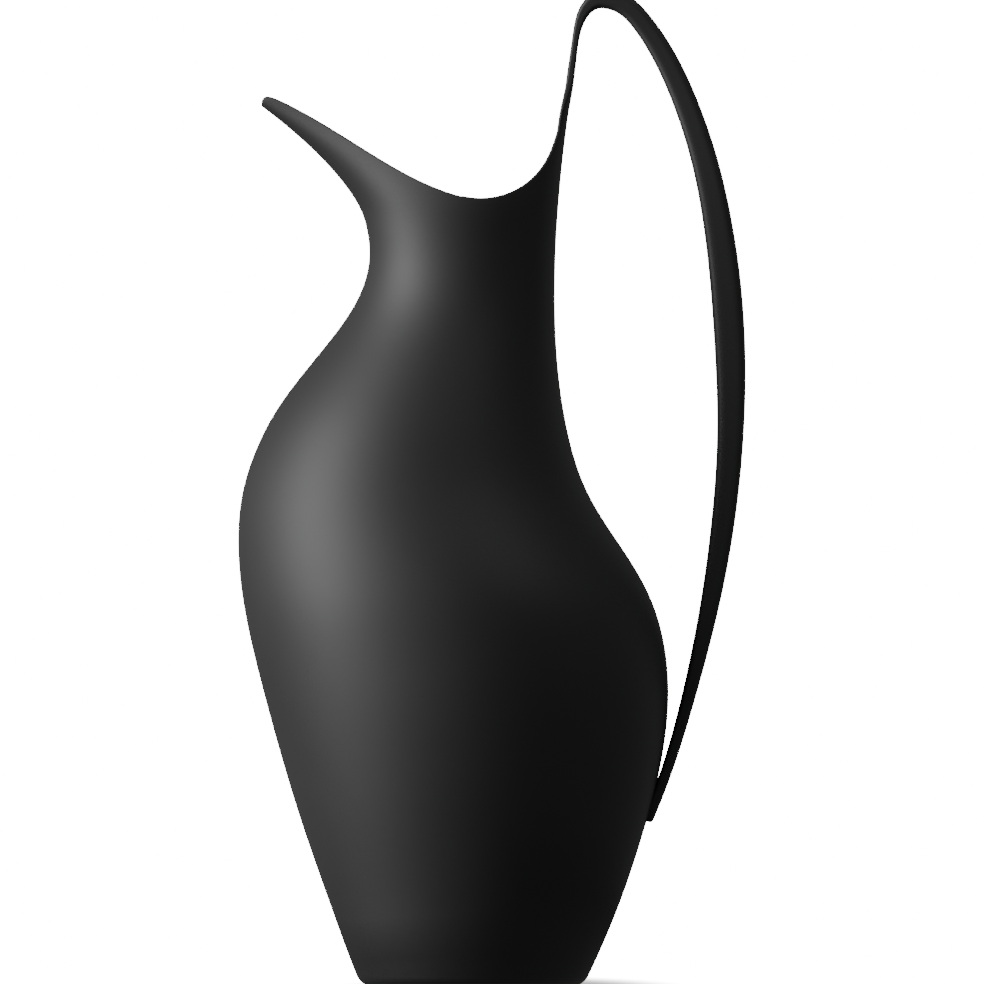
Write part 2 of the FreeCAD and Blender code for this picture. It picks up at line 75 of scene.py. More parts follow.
def line_through(points):
    """A smooth line through (place, value) points, as a function of the place."""
    places = np.array([place for place, value in points], float)
    values = np.array([value for place, value in points], float)
    gaps = np.diff(places)
    rises = np.diff(values) / gaps
    count = len(places)
    system = np.zeros((count, count))
    known = np.zeros(count)
    system[0, 0] = system[-1, -1] = 1
    known[0] = np.polyfit(places[:4] - places[0], values[:4], 3)[-2]
    known[-1] = np.polyfit(places[-4:] - places[-1], values[-4:], 3)[-2]
    for number in range(1, count - 1):
        before, after = gaps[number - 1], gaps[number]
        system[number, number - 1:number + 2] = after, 2 * (before + after), before
        known[number] = 3 * (after * rises[number - 1] + before * rises[number])
    slopes = np.linalg.solve(system, known)

    def value_at(place):
        place = np.asarray(place, float)
        number = np.clip(np.searchsorted(places, place) - 1, 0, count - 2)
        gap = gaps[number]
        share = (place - places[number]) / gap
        return (
            values[number] * (1 + 2 * share) * (1 - share) ** 2
            + slopes[number] * gap * share * (1 - share) ** 2
            + values[number + 1] * share ** 2 * (3 - 2 * share)
            + slopes[number + 1] * gap * share ** 2 * (share - 1)
        )

    return value_at


def between(start, end, shares):
    """The points that shares put between two places, with the start and without the end."""
    return [start] + [
        (start[0] + (end[0] - start[0]) * a, start[1] + (end[1] - start[1]) * b) for a, b in shares]


# The body's reach to the front, the rear and the side, at each level.
foot = (0, BASE_RADIUS)
front_belly = (131.0, 68.24)
front_neck = (NECK_LEVEL, 29.98)
front_end = (FORM_TOP, (FORM_TOP - NOSE[1]) * FRONT_SLOPE - NOSE[0])
front_reach = line_through(
    between(foot, front_belly, [
        (0.05, 0.074), (0.18, 0.249), (0.36, 0.479), (0.54, 0.679), (0.70, 0.836), (0.85, 0.955)])
    + between(front_belly, front_neck, [
        (0.11, 0.017), (0.22, 0.070), (0.32, 0.152), (0.42, 0.263),
        (0.55, 0.462), (0.68, 0.691), (0.82, 0.900)])
    + between(front_neck, front_end, [
        (0.10, 0.013), (0.22, 0.051), (0.40, 0.182), (0.60, 0.399), (0.80, 0.674)])
    + [front_end]
)
rear_belly = (86.5, 57.22)
rear_neck = (203.0, 24.1)
rear_end = (FORM_TOP, rear_neck[1] + (FORM_TOP - rear_neck[0]) * REAR_SLOPE)
rear_reach = line_through(
    between(foot, rear_belly, [(0.08, 0.134), (0.25, 0.388), (0.50, 0.687), (0.75, 0.912)])
    + between(rear_belly, rear_neck, [
        (0.12, 0.042), (0.24, 0.176), (0.33, 0.355), (0.41, 0.543),
        (0.50, 0.724), (0.62, 0.867), (0.78, 0.964)])
    + between(rear_neck, rear_end, [(0.25, 0.075), (0.50, 0.272), (0.75, 0.568)])
    + [rear_end]
)
side_belly = (99.0, 61.0)
side_neck = (NECK_LEVEL, 26.6)
side_end = (FORM_TOP, NOSE_SIDE)
side_reach = line_through(
    between(foot, side_belly, [(0.10, 0.155), (0.29, 0.412), (0.48, 0.642), (0.67, 0.830), (0.85, 0.956)])
    + between(side_belly, side_neck, [
        (0.12, 0.017), (0.24, 0.115), (0.40, 0.305), (0.56, 0.500), (0.72, 0.738), (0.88, 0.942)])
    + between(side_neck, side_end, [
        (0.15, 0.015), (0.31, 0.040), (0.51, 0.165), (0.66, 0.335), (0.80, 0.570), (0.90, 0.775)])
    + [side_end]
)


# The body's skin. Angle 0 is at the back and half a turn is at the spout.

def body_point(angle, level):
    """The skin's point at this angle and level. Above the neck, sections stay widest over the neck's middle."""
    front = front_reach(level)
    rear = rear_reach(level)
    middle = (rear - front) / 2
    neck_level = np.minimum(level, NECK_LEVEL)
    widest = (rear_reach(neck_level) - front_reach(neck_level)) / 2
    across = middle + (rear + front) / 2 * np.cos(angle) + (widest - middle) * np.sin(angle) ** 2
    return np.stack([across, side_reach(level) * np.sin(angle), level + 0 * angle], axis=-1)


def unit(vectors):
    return vectors / np.maximum(np.linalg.norm(vectors, axis=-1, keepdims=True), 1e-9)


def body_normal(angle, level):
    """The direction out of the skin."""
    step = 0.002
    around = body_point(angle + step, level) - body_point(angle - step, level)
    upwards = body_point(angle, level + step) - body_point(angle, level - step)
    return unit(np.cross(around, upwards))


def under_skin(angle, level, depth):
    """The point depth under the skin at this angle and level, kept on its own side of the middle."""
    point = body_point(angle, level) - body_normal(angle, level) * depth
    point[..., 1] = np.where(np.sin(angle) >= 0, np.maximum(point[..., 1], 0), np.minimum(point[..., 1], 0))
    return point


HEIGHT_ROUNDS = 6


def under_skin_at(angle, height, depth):
    """The same, at a height of its own, which a few rounds of correction reach."""
    level = height + 0 * angle
    for _ in range(HEIGHT_ROUNDS):
        level = np.clip(height + depth * body_normal(angle, level)[..., 2], 0, FORM_TOP)
    point = under_skin(angle, level, depth)
    point[..., 2] = height
    return point


# The rim in the side view

joint_across = float(rear_reach(TONGUE_HEIGHT)) - TONGUE_DEPTH
nose_top = (NOSE[0], NOSE[1] + NOSE_RADIUS)
rim_front = between(RIM_LOW, nose_top, [(0.841, 0.836), (0.608, 0.547), (0.318, 0.199), (0.189, 0.083)])[1:]
rim_rear = between(RIM_LOW, (joint_across, TONGUE_HEIGHT), [
    (0.443, 0.126), (0.608, 0.246), (0.763, 0.422), (0.864, 0.598), (0.934, 0.774)])[1:]
rim_points = [nose_top] + rim_front + [RIM_LOW] + rim_rear + [(joint_across, TONGUE_HEIGHT)]


def lengths_along(path_points):
    return np.concatenate([[0], np.cumsum([math.dist(a, b) for a, b in zip(path_points, path_points[1:])])])


def path_through(path_points, places):
    """Across and height of a smooth path, as functions of the points' places on it."""
    across = line_through(list(zip(places, [point[0] for point in path_points])))
    height = line_through(list(zip(places, [point[1] for point in path_points])))
    return across, height


RIM_TABLE = 4000
NOSE_UNDER = 0.42
rim_lengths = lengths_along(rim_points)
rim_across, rim_height = path_through(rim_points, rim_lengths)
rim_table = np.linspace(0, rim_lengths[-1], RIM_TABLE)
rim_table_across = rim_across(rim_table)
rim_table_height = rim_height(rim_table)


def above_rim(across, height):
    """More than 0 where the mouth is cut away, seen from the side."""
    line = np.interp(across, rim_table_across, rim_table_height, right=TONGUE_HEIGHT)
    chord = np.sqrt(np.maximum(NOSE_RADIUS ** 2 - (across - NOSE[0]) ** 2, 0))
    arc = np.where(chord > 0, NOSE[1] + chord, NOSE[1] - NOSE_RADIUS * NOSE_UNDER)
    limit = np.where(across < NOSE[0], arc, line)
    return height - limit


def halved(low, high, is_past, rounds):
    """The place just before is_past turns true, found by halving the way from low to high."""
    for _ in range(rounds):
        middle = (low + high) / 2
        past = is_past(middle)
        low, high = np.where(past, low, middle), np.where(past, middle, high)
    return low


SEARCH_START = 190
SEARCH_LEVELS = 1500
RIM_HALVINGS = 24
JOINT_HALVINGS = 50
JOINT_SEARCH = (0.05, 1.5)


def cut_level(angles):
    """The level at which each line up the body meets the rim. The rear follows the sheet's inner edge."""
    depth = np.where(np.cos(angles) > 0, WALL, 0.0)[:, None]

    def is_above(level):
        point = body_point(angles, level) - body_normal(angles, level) * depth
        return above_rim(point[:, 0], point[:, 2]) > 0

    levels = np.linspace(SEARCH_START, FORM_TOP, SEARCH_LEVELS)
    found = np.zeros(len(angles), bool)
    first = np.full(len(angles), FORM_TOP)
    for level in levels:
        fresh = is_above(level + 0 * angles) & ~found
        first[fresh] = level
        found |= fresh
    return halved(first - (levels[1] - levels[0]), first, is_above, RIM_HALVINGS)


def joint_angle():
    """Where, on the way round, the tongue's edge meets the handle's strap."""
    level = np.array([TONGUE_HEIGHT])

    def is_past(angle):
        angle = np.array([angle])
        inner = body_point(angle, level)[0] - body_normal(angle, level)[0] * WALL
        return inner[0] <= joint_across

    return float(halved(*JOINT_SEARCH, is_past, JOINT_HALVINGS))


# The grid's angles: evenly over the joint, then on round to the spout, where they crowd a little, and back.
JOINT_COLUMNS = 28
REST_COLUMNS = 150
SPOUT_CROWDING = 0.92
TIP_REACH = 0.6
TIP_ROUNDS = 10
DOWN_STEP = 0.5
joint_turn = joint_angle()
half = np.concatenate([
    np.linspace(0, joint_turn, JOINT_COLUMNS + 1),
    joint_turn + (math.pi - joint_turn) * (np.arange(1, REST_COLUMNS + 1) / REST_COLUMNS) ** SPOUT_CROWDING,
])
angles = np.concatenate([half, 2 * math.pi - half[-2:0:-1]])
columns = len(angles)
in_joint = np.zeros(columns, bool)
in_joint[:JOINT_COLUMNS] = True
in_joint[-(JOINT_COLUMNS - 1):] = True

tops = cut_level(angles)
tops[in_joint] = TONGUE_HEIGHT
edge_columns = [JOINT_COLUMNS, columns - JOINT_COLUMNS]
tops[edge_columns] = TONGUE_HEIGHT
# The rim turns over the spout's tip in a soft curve.
at_tip = np.flatnonzero(np.abs(angles - math.pi) < TIP_REACH)
for _ in range(TIP_ROUNDS):
    tops[at_tip] = (tops[at_tip - 1] + 2 * tops[at_tip] + tops[at_tip + 1]) / 4

edge_outer = body_point(angles, tops)
edge_inner = under_skin(angles, tops, WALL)
edge_inner[in_joint] = under_skin_at(angles[in_joint], TONGUE_HEIGHT, WALL)
edge_normal = body_normal(angles, tops)
along_rim = unit(np.roll(edge_outer, -1, axis=0) - np.roll(edge_outer, 1, axis=0))
for column, nearer in ((edge_columns[0], 1), (edge_columns[1], -1)):
    along_rim[column] = unit(edge_outer[column + nearer] - edge_outer[column]) * nearer
into_sheet = unit(np.cross(along_rim, edge_normal))
line_down = unit(body_point(angles, tops - DOWN_STEP) - edge_outer)
flip = np.sum(into_sheet * line_down, axis=1) < 0
into_sheet[flip] *= -1

# Rows of the closed strip that each column runs: out under the foot, up, over the rim and down inside.
BEVEL = 0.40
BEVEL_SHARE = 0.48
BEVEL_STEPS = 6
OUTER_ROWS = 96
INNER_ROWS = 54
OUTER_CORNER_STEPS = 9
INNER_CORNER_STEPS = 7
RIM_CROWDING = 1.15
# The ring that the jug stands on starts at its opening's edge: (beyond the opening, height).
FOOT_LINE = [(0, WALL - 0.02), (0, WALL - 0.25), (0, 0.25), (0.07, 0.07), (0.25, 0), (2.5, 0)]
FOOT_LINE_END = (0.3, WALL)
rows = []


def add_row(points):
    rows.append(np.array(points, float))


def pulled(points, distance):
    """The points moved towards the jug's middle."""
    return points + unit(points * np.array([-1, -1, 0])) * distance


def foot_ring(beyond, height):
    radius = BASE_OPENING + beyond
    return np.stack([radius * np.cos(angles), radius * np.sin(angles), 0 * angles + height], axis=-1)


for beyond, height in FOOT_LINE:
    add_row(foot_ring(beyond, height))
for turn in np.linspace(0, math.pi / 2, OUTER_CORNER_STEPS + 1)[:-1]:
    height = BASE_CORNER * (1 - math.cos(turn))
    add_row(pulled(body_point(angles, 0 * angles + height), BASE_CORNER * (1 - math.sin(turn))))

# The last row before the rim lies lower where a line up the body crosses the rim at a slant.
LAST_DROP = 1.0
LONGEST_DROP = 7.0
LEAST_CROSSING = 0.12
crossing = np.clip(np.linalg.norm(np.cross(line_down, along_rim), axis=1), LEAST_CROSSING, 1)
last_drop = np.clip(LAST_DROP / crossing, LAST_DROP, LONGEST_DROP)
last_drop[in_joint] = LAST_DROP
climb = 1 - (1 - np.linspace(0, 1, OUTER_ROWS)) ** RIM_CROWDING
for share in climb:
    add_row(body_point(angles, BASE_CORNER + (tops - last_drop - BASE_CORNER) * share))
rim_first = len(rows)

across_sheet = unit(edge_inner - edge_outer)
thickness = np.linalg.norm(edge_inner - edge_outer, axis=1)
bevel = np.minimum(BEVEL, thickness * BEVEL_SHARE)[:, None]
outer_centre = edge_outer + (across_sheet + into_sheet) * bevel
inner_centre = edge_inner + (into_sheet - across_sheet) * bevel
for turn in np.linspace(0, math.pi / 2, BEVEL_STEPS + 1):
    add_row(outer_centre - across_sheet * bevel * math.cos(turn) - into_sheet * bevel * math.sin(turn))
for turn in np.linspace(math.pi / 2, 0, BEVEL_STEPS + 1):
    add_row(inner_centre + across_sheet * bevel * math.cos(turn) - into_sheet * bevel * math.sin(turn))
rim_last = len(rows) - 1

inner_corner = BASE_CORNER - WALL
inner_top_heights = under_skin(angles, tops - last_drop, WALL)[:, 2]
for share in np.linspace(1, 0, INNER_ROWS):
    add_row(under_skin_at(angles, BASE_CORNER + (inner_top_heights - BASE_CORNER) * share, WALL))
for turn in np.linspace(math.pi / 2, 0, INNER_CORNER_STEPS + 1)[1:]:
    height = WALL + inner_corner * (1 - math.cos(turn))
    add_row(pulled(under_skin_at(angles, height, WALL), inner_corner * (1 - math.sin(turn))))
add_row(foot_ring(*FOOT_LINE_END))

# Over the joint the strip is open, and its two top rows are the joint's own edge.
for row in range(rim_first, rim_last + 1):
    flat = edge_outer if row <= rim_first + BEVEL_STEPS else edge_inner
    rows[row][in_joint] = flat[in_joint]

points = [point for row in rows for point in row]
faces = []
row_count = len(rows)
for row in range(row_count):
    following_row = (row + 1) % row_count
    for column in range(columns):
        following = (column + 1) % columns
        touches_joint = in_joint[column] or in_joint[following]
        if touches_joint and rim_first <= row < rim_last:
            continue
        faces.append((
            row * columns + column,
            row * columns + following,
            following_row * columns + following,
            following_row * columns + column,
        ))


# Handle lines

LOOP_THICKENING = 0.425
start_height = TONGUE_HEIGHT - JOINT_RUN
handle_start = (float(rear_reach(start_height)) - WALL / 2, start_height)
loop_thickness = STRAP_THICKNESS + (GRIP_THICKNESS - STRAP_THICKNESS) * LOOP_THICKENING
loop_top = (LOOP_ACROSS, JUG_HEIGHT - loop_thickness / 2)
handle_end = (float(rear_reach(HANDLE_END_HEIGHT)), HANDLE_END_HEIGHT)
path_points = (
    between(handle_start, loop_top, [
        (0.109, 0.286), (0.162, 0.429), (0.231, 0.587), (0.305, 0.745),
        (0.405, 0.861), (0.603, 0.957), (0.782, 0.992)])
    + between(loop_top, HANDLE_BACK, [
        (0.173, 0.019), (0.275, 0.051), (0.367, 0.090), (0.521, 0.174), (0.647, 0.265),
        (0.793, 0.406), (0.891, 0.552), (0.954, 0.700), (0.989, 0.850)])
    + between(HANDLE_BACK, handle_end, [
        (0.026, 0.144), (0.096, 0.287), (0.204, 0.431), (0.346, 0.572), (0.518, 0.713), (0.719, 0.852)])
    + [handle_end]
)
path_lengths = lengths_along(path_points)
path_across, path_height = path_through(path_points, path_lengths / path_lengths[-1])
fine = np.linspace(0, 1, 4001)
path_length = float(np.sum(np.hypot(np.diff(path_across(fine)), np.diff(path_height(fine)))))

STEM_SHARE = 0.065
STEM_END_SHARE = 0.108
GRIP_THICKEST_SHARE = 0.489
joint_share = JOINT_RUN / path_length
thickness_along = line_through(
    [(0, WALL)]
    + between((joint_share, WALL), (STEM_SHARE, STRAP_THICKNESS), [(0.30, 0.450), (0.60, 0.850)])
    + [(STEM_SHARE, STRAP_THICKNESS)]
    + between((STEM_END_SHARE, STRAP_THICKNESS), (GRIP_THICKEST_SHARE, GRIP_THICKNESS), [
        (0.048, 0.160), (0.088, 0.336), (0.130, 0.468), (0.172, 0.530), (0.220, 0.548),
        (0.321, 0.616), (0.525, 0.733), (0.785, 0.903)])
    + between((GRIP_THICKEST_SHARE, GRIP_THICKNESS), (1, END_THICKNESS), [
        (0.110, 0.052), (0.225, 0.200), (0.456, 0.434), (0.650, 0.719), (0.804, 0.914), (0.918, 0.990)])
    + [(1, END_THICKNESS)]
)
TONGUE_HALF_WIDTH = float(edge_outer[edge_columns[0], 1])
STEM_HALF_WIDTH = 6.45
half_width_along = line_through([
    (joint_share, STEM_HALF_WIDTH), (STEM_SHARE, 6.5), (STEM_END_SHARE, 6.45),
    (0.25, 6.0), (0.44, 6.0), (0.64, 6.0), (1, 4.0),
])
# The tongue's edges run on into the strap's in a soft flare.
edge_slope = -along_rim[edge_columns[0], 1] / along_rim[edge_columns[0], 2]
FLARE = TONGUE_HALF_WIDTH - STEM_HALF_WIDTH
FLARE_RUN = FLARE / edge_slope


def half_width_at(share):
    beyond = (share - joint_share) * path_length
    return float(half_width_along(share)) + FLARE * math.exp(-beyond / FLARE_RUN)


# How strongly the tongue curls at the joint, seen from above.
CURL_ANGLE = 0.05
back, beside = body_point(np.array([0, CURL_ANGLE]), np.array([TONGUE_HEIGHT, TONGUE_HEIGHT]))
joint_curl = 2 * (back[0] - beside[0]) / beside[1] ** 2

# The handle's tube takes over the joint's edge, point by point.
side_rows = list(range(rim_first, rim_last + 1))
joint_loop = (
    [rim_first * columns + column for column in range(JOINT_COLUMNS)]
    + [row * columns + edge_columns[0] for row in side_rows]
    + [rim_last * columns + column % columns for column in range(JOINT_COLUMNS - 1, -JOINT_COLUMNS, -1)]
    + [row * columns + edge_columns[1] for row in reversed(side_rows)]
    + [rim_first * columns + column % columns for column in range(1 - JOINT_COLUMNS, 0)]
)

# The handle's section is a squared oval. It starts in the middle of the face towards the loop's inside, and
# goes round one side, the other face and the other side.
SQUARENESS = 5.0
FLAT_SHARE = 0.93
corner_turn = math.atan2(FLAT_SHARE, (1 - FLAT_SHARE ** SQUARENESS) ** (1 / SQUARENESS))
flat_places = np.arange(JOINT_COLUMNS) / JOINT_COLUMNS * FLAT_SHARE


def flat_place(place, towards_loop):
    rise = (1 - abs(place) ** SQUARENESS) ** (1 / SQUARENESS)
    return place, rise if towards_loop else -rise


def corner_place(turn, side):
    reach = (abs(math.cos(turn)) ** SQUARENESS + abs(math.sin(turn)) ** SQUARENESS) ** (-1 / SQUARENESS)
    return side * math.sin(turn) * reach, math.cos(turn) * reach


corner_turns = np.linspace(corner_turn, math.pi - corner_turn, len(side_rows))
section = np.array(
    [flat_place(place, True) for place in flat_places]
    + [corner_place(turn, 1) for turn in corner_turns]
    + [flat_place(place, False) for place in [*flat_places[::-1], *-flat_places[1:]]]
    + [corner_place(turn, -1) for turn in corner_turns[::-1]]
    + [flat_place(place, True) for place in -flat_places[:0:-1]]
)
assert len(section) == len(joint_loop)


def path_frame(share):
    """The path's point, its direction and the direction towards the loop's inside."""
    step = 0.0005
    middle = np.array([float(path_across(share)), 0, float(path_height(share))])
    low_share, high_share = max(share - step, 0), min(share + step, 1)
    forward = np.array([
        float(path_across(high_share) - path_across(low_share)), 0,
        float(path_height(high_share) - path_height(low_share)),
    ])
    forward = forward / np.linalg.norm(forward)
    inward = np.array([forward[2], 0, -forward[0]])
    return middle, forward, inward


loop_start = np.array([points[number] for number in joint_loop])
middle, forward, inward = path_frame(joint_share)
loop_local = np.stack([
    loop_start[:, 1], (loop_start - middle) @ inward, (loop_start - middle) @ forward,
], axis=-1)

# Over this run the joint's shape gives way to the handle's own section.
TAKEOVER = 14.0
# Each face is this much thicker than the model's, because the white background eats a thin form's edges.
GRIP_COAT = 0.15
END_ROUND = 1.1
END_STEPS = 6
FINE_RUN = 8
FINE_STEP = 0.25
COARSE_STEP = 2.0
BELLY_PART = 75
shares = [joint_share]
while shares[-1] < 1 - END_ROUND / path_length:
    step = FINE_STEP if (shares[-1] - joint_share) * path_length < FINE_RUN else COARSE_STEP
    shares.append(shares[-1] + step / path_length)
shares[-1] = 1 - END_ROUND / path_length


def eased(share):
    share = min(max(share, 0), 1)
    return share * share * (3 - 2 * share)


def handle_ring(share, inset=0.0, beyond=0.0):
    """The handle's section at this share of the path. Near the joint it goes over into the tongue's edge."""
    middle, forward, inward = path_frame(share)
    half_width = half_width_at(share) - inset
    half_thickness = float(thickness_along(share)) / 2 + GRIP_COAT - inset
    curl = joint_curl * eased((STEM_SHARE - share) / (STEM_SHARE - joint_share))
    wide = section[:, 0] * half_width
    through = section[:, 1] * half_thickness - curl * wide ** 2 / 2
    taken = eased((share - joint_share) * path_length / TAKEOVER)
    narrowing = half_width / TONGUE_HALF_WIDTH
    wide = loop_local[:, 0] * narrowing * (1 - taken) + wide * taken
    through = loop_local[:, 1] * (1 - taken) + through * taken
    along = loop_local[:, 2] * (1 - taken)
    ring = middle + np.outer(through, inward) + np.outer(along + beyond, forward)
    ring[:, 1] = wide
    return ring


def clear_of_inside(ring):
    """Keeps the handle's end out of the body's hollow: at most half a wall deep."""
    side = np.maximum(side_reach(ring[:, 2]), 1)
    angle = np.arcsin(np.clip(ring[:, 1] / side, -1, 1))
    skin = body_point(angle, ring[:, 2])[:, 0]
    at_belly = ring[:, 2] < BELLY_PART
    ring[:, 0] = np.where(at_belly, np.maximum(ring[:, 0], skin - WALL / 2), ring[:, 0])
    return ring


def add_ring(previous, ring):
    """Joins a new ring of points to the one before it, and gives the new one's numbers."""
    numbers = list(range(len(points), len(points) + len(ring)))
    points.extend(ring)
    for number in range(len(ring)):
        following = (number + 1) % len(ring)
        faces.append((previous[number], previous[following], numbers[following], numbers[number]))
    return numbers


last_ring = joint_loop
for share in shares[1:]:
    last_ring = add_ring(last_ring, clear_of_inside(handle_ring(share)))
for turn in np.linspace(0, math.pi / 2, END_STEPS + 1)[1:]:
    last_ring = add_ring(last_ring, clear_of_inside(handle_ring(
        shares[-1], END_ROUND * (1 - math.cos(turn)), END_ROUND * math.sin(turn))))
faces.append(tuple(last_ring))

points = np.array(points) * MM


def make_piece(name, vertices, polygons):
    mesh = bpy.data.meshes.new(name)
    mesh.from_pydata([tuple(v) for v in vertices], [], polygons)
    mesh.validate()
    piece = bpy.data.objects.new(name, mesh)
    bpy.context.scene.collection.objects.link(piece)
    for polygon in mesh.polygons:
        polygon.use_smooth = True
    return piece


jug = make_piece("jug_body_and_handle", points, faces)
bm = bmesh.new()
bm.from_mesh(jug.data)
loose = [v for v in bm.verts if not v.link_faces]
bmesh.ops.delete(bm, geom=loose, context="VERTS")
bmesh.ops.recalc_face_normals(bm, faces=bm.faces)
bm.to_mesh(jug.data)
bm.free()
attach(jug, "root")
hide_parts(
    "left_body_shell", "right_body_shell", "handle_stem",
    "handle_left_shell", "handle_right_shell", "handle_foot",
)


# Materials

ROUGHNESS = 0.5861
ROUGHNESS_SPREAD = 0.015
DARKER = (0.01456, 0.01446, 0.01466, 1)
LIGHTER = (0.01708, 0.01698, 0.01718, 1)
CLOUD_SCALE = 22.0
CLOUD_DETAIL = 4.0
CLOUD_LOW = 0.3
CLOUD_HIGH = 0.7
GRAIN_SCALE = 3200.0
GRAIN_DETAIL = 2.0
GRAIN_STRENGTH = 0.05
GRAIN_DEPTH = 0.00003


def coating(name, roughness):
    """Satin black coating on metal: a fine grain, faint cloudy gloss and a trace of colour variation."""
    material = bpy.data.materials.new(name)
    material.use_nodes = True
    nodes = material.node_tree.nodes
    links = material.node_tree.links
    nodes.clear()
    output = nodes.new("ShaderNodeOutputMaterial")
    shader = nodes.new("ShaderNodeBsdfPrincipled")
    links.new(shader.outputs["BSDF"], output.inputs["Surface"])
    place = nodes.new("ShaderNodeTexCoord")
    shader.inputs["Metallic"].default_value = 0.0
    shader.inputs["IOR"].default_value = 1.5

    cloud = nodes.new("ShaderNodeTexNoise")
    cloud.inputs["Scale"].default_value = CLOUD_SCALE
    cloud.inputs["Detail"].default_value = CLOUD_DETAIL
    links.new(place.outputs["Object"], cloud.inputs["Vector"])
    tone = nodes.new("ShaderNodeValToRGB")
    tone.color_ramp.elements[0].position = CLOUD_LOW
    tone.color_ramp.elements[0].color = DARKER
    tone.color_ramp.elements[1].position = CLOUD_HIGH
    tone.color_ramp.elements[1].color = LIGHTER
    links.new(cloud.outputs["Fac"], tone.inputs["Fac"])
    links.new(tone.outputs["Color"], shader.inputs["Base Color"])

    gloss = nodes.new("ShaderNodeMapRange")
    gloss.inputs["From Min"].default_value = CLOUD_LOW
    gloss.inputs["From Max"].default_value = CLOUD_HIGH
    gloss.inputs["To Min"].default_value = roughness - ROUGHNESS_SPREAD
    gloss.inputs["To Max"].default_value = roughness + ROUGHNESS_SPREAD
    links.new(cloud.outputs["Fac"], gloss.inputs["Value"])
    links.new(gloss.outputs["Result"], shader.inputs["Roughness"])

    grain = nodes.new("ShaderNodeTexNoise")
    grain.inputs["Scale"].default_value = GRAIN_SCALE
    grain.inputs["Detail"].default_value = GRAIN_DETAIL
    links.new(place.outputs["Object"], grain.inputs["Vector"])
    bump = nodes.new("ShaderNodeBump")
    bump.inputs["Strength"].default_value = GRAIN_STRENGTH
    bump.inputs["Distance"].default_value = GRAIN_DEPTH
    links.new(grain.outputs["Fac"], bump.inputs["Height"])
    links.new(bump.outputs["Normal"], shader.inputs["Normal"])
    return material


satin = coating("satin_black_coating", ROUGHNESS)
jug.data.materials.clear()
jug.data.materials.append(satin)
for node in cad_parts.values():
    node.data.materials.clear()
    node.data.materials.append(satin)


# Floor, backdrop, world

def plain(name, colour, glow=0.0):
    material = bpy.data.materials.new(name)
    material.use_nodes = True
    shader = material.node_tree.nodes["Principled BSDF"]
    shader.inputs["Base Color"].default_value = (*colour, 1)
    shader.inputs["Roughness"].default_value = 0.9
    shader.inputs["Specular IOR Level"].default_value = 0.0
    if glow:
        shader.inputs["Emission Color"].default_value = (1, 1, 1, 1)
        shader.inputs["Emission Strength"].default_value = glow
    return material


# The floor rises a little behind the foot, so that the level camera sees the painted shade that lies on it.
FLOOR_REACH = 14.0
FLOOR_LEVEL = -0.00003
SWEEP_START = 0.034
SWEEP_END = 0.134
SWEEP_RISE = 0.006
WHITE = 22.0
# The painted shade under the jug, made by dimming the floor's glow: the glow at its middle, its middle, and how
# far out it starts to fade and ends.
SHADE = 0.4
SHADE_MIDDLE = (0.012, 0.014, 0)
SHADE_FADE = 0.022
SHADE_END = 0.064
sweep = [
    (-FLOOR_REACH, FLOOR_LEVEL), (SWEEP_START, FLOOR_LEVEL), (SWEEP_END, SWEEP_RISE), (FLOOR_REACH, SWEEP_RISE)]
floor = make_piece("floor", [(side * FLOOR_REACH, y, z) for y, z in sweep for side in (-1, 1)],
                   [(0, 1, 3, 2), (2, 3, 5, 4), (4, 5, 7, 6)])
floor.data.materials.append(plain("floor_white", (0.8, 0.8, 0.8), WHITE))
for polygon in floor.data.polygons:
    polygon.use_smooth = False
floor_tree = floor.data.materials[0].node_tree
# Painted shadow: the floor's glow falls off towards the foot, round a middle set to the right of and behind it,
# away from the key light.
spot = floor_tree.nodes.new("ShaderNodeNewGeometry")
reach = floor_tree.nodes.new("ShaderNodeVectorMath")
reach.operation = "DISTANCE"
reach.inputs[1].default_value = SHADE_MIDDLE
fall = floor_tree.nodes.new("ShaderNodeMapRange")
fall.interpolation_type = "SMOOTHERSTEP"
fall.inputs["From Min"].default_value = SHADE_FADE
fall.inputs["From Max"].default_value = SHADE_END
glow = floor_tree.nodes.new("ShaderNodeMath")
glow.operation = "POWER"
glow.inputs[0].default_value = WHITE / SHADE
level = floor_tree.nodes.new("ShaderNodeMath")
level.operation = "MULTIPLY"
level.inputs[1].default_value = SHADE
floor_tree.links.new(spot.outputs["Position"], reach.inputs[0])
floor_tree.links.new(reach.outputs["Value"], fall.inputs["Value"])
floor_tree.links.new(fall.outputs["Result"], glow.inputs[1])
floor_tree.links.new(glow.outputs["Value"], level.inputs[0])
paper = floor_tree.nodes["Principled BSDF"]
floor_tree.links.new(level.outputs["Value"], paper.inputs["Emission Strength"])
# From below the floor is clear, so that the foot can be seen.
clear = floor_tree.nodes.new("ShaderNodeBsdfTransparent")
one_sided = floor_tree.nodes.new("ShaderNodeMixShader")
floor_tree.links.new(spot.outputs["Backfacing"], one_sided.inputs["Fac"])
floor_tree.links.new(paper.outputs["BSDF"], one_sided.inputs[1])
floor_tree.links.new(clear.outputs["BSDF"], one_sided.inputs[2])
floor_tree.links.new(one_sided.outputs["Shader"], floor_tree.nodes["Material Output"].inputs["Surface"])
floor.visible_diffuse = False
floor.visible_glossy = False
floor.visible_shadow = False

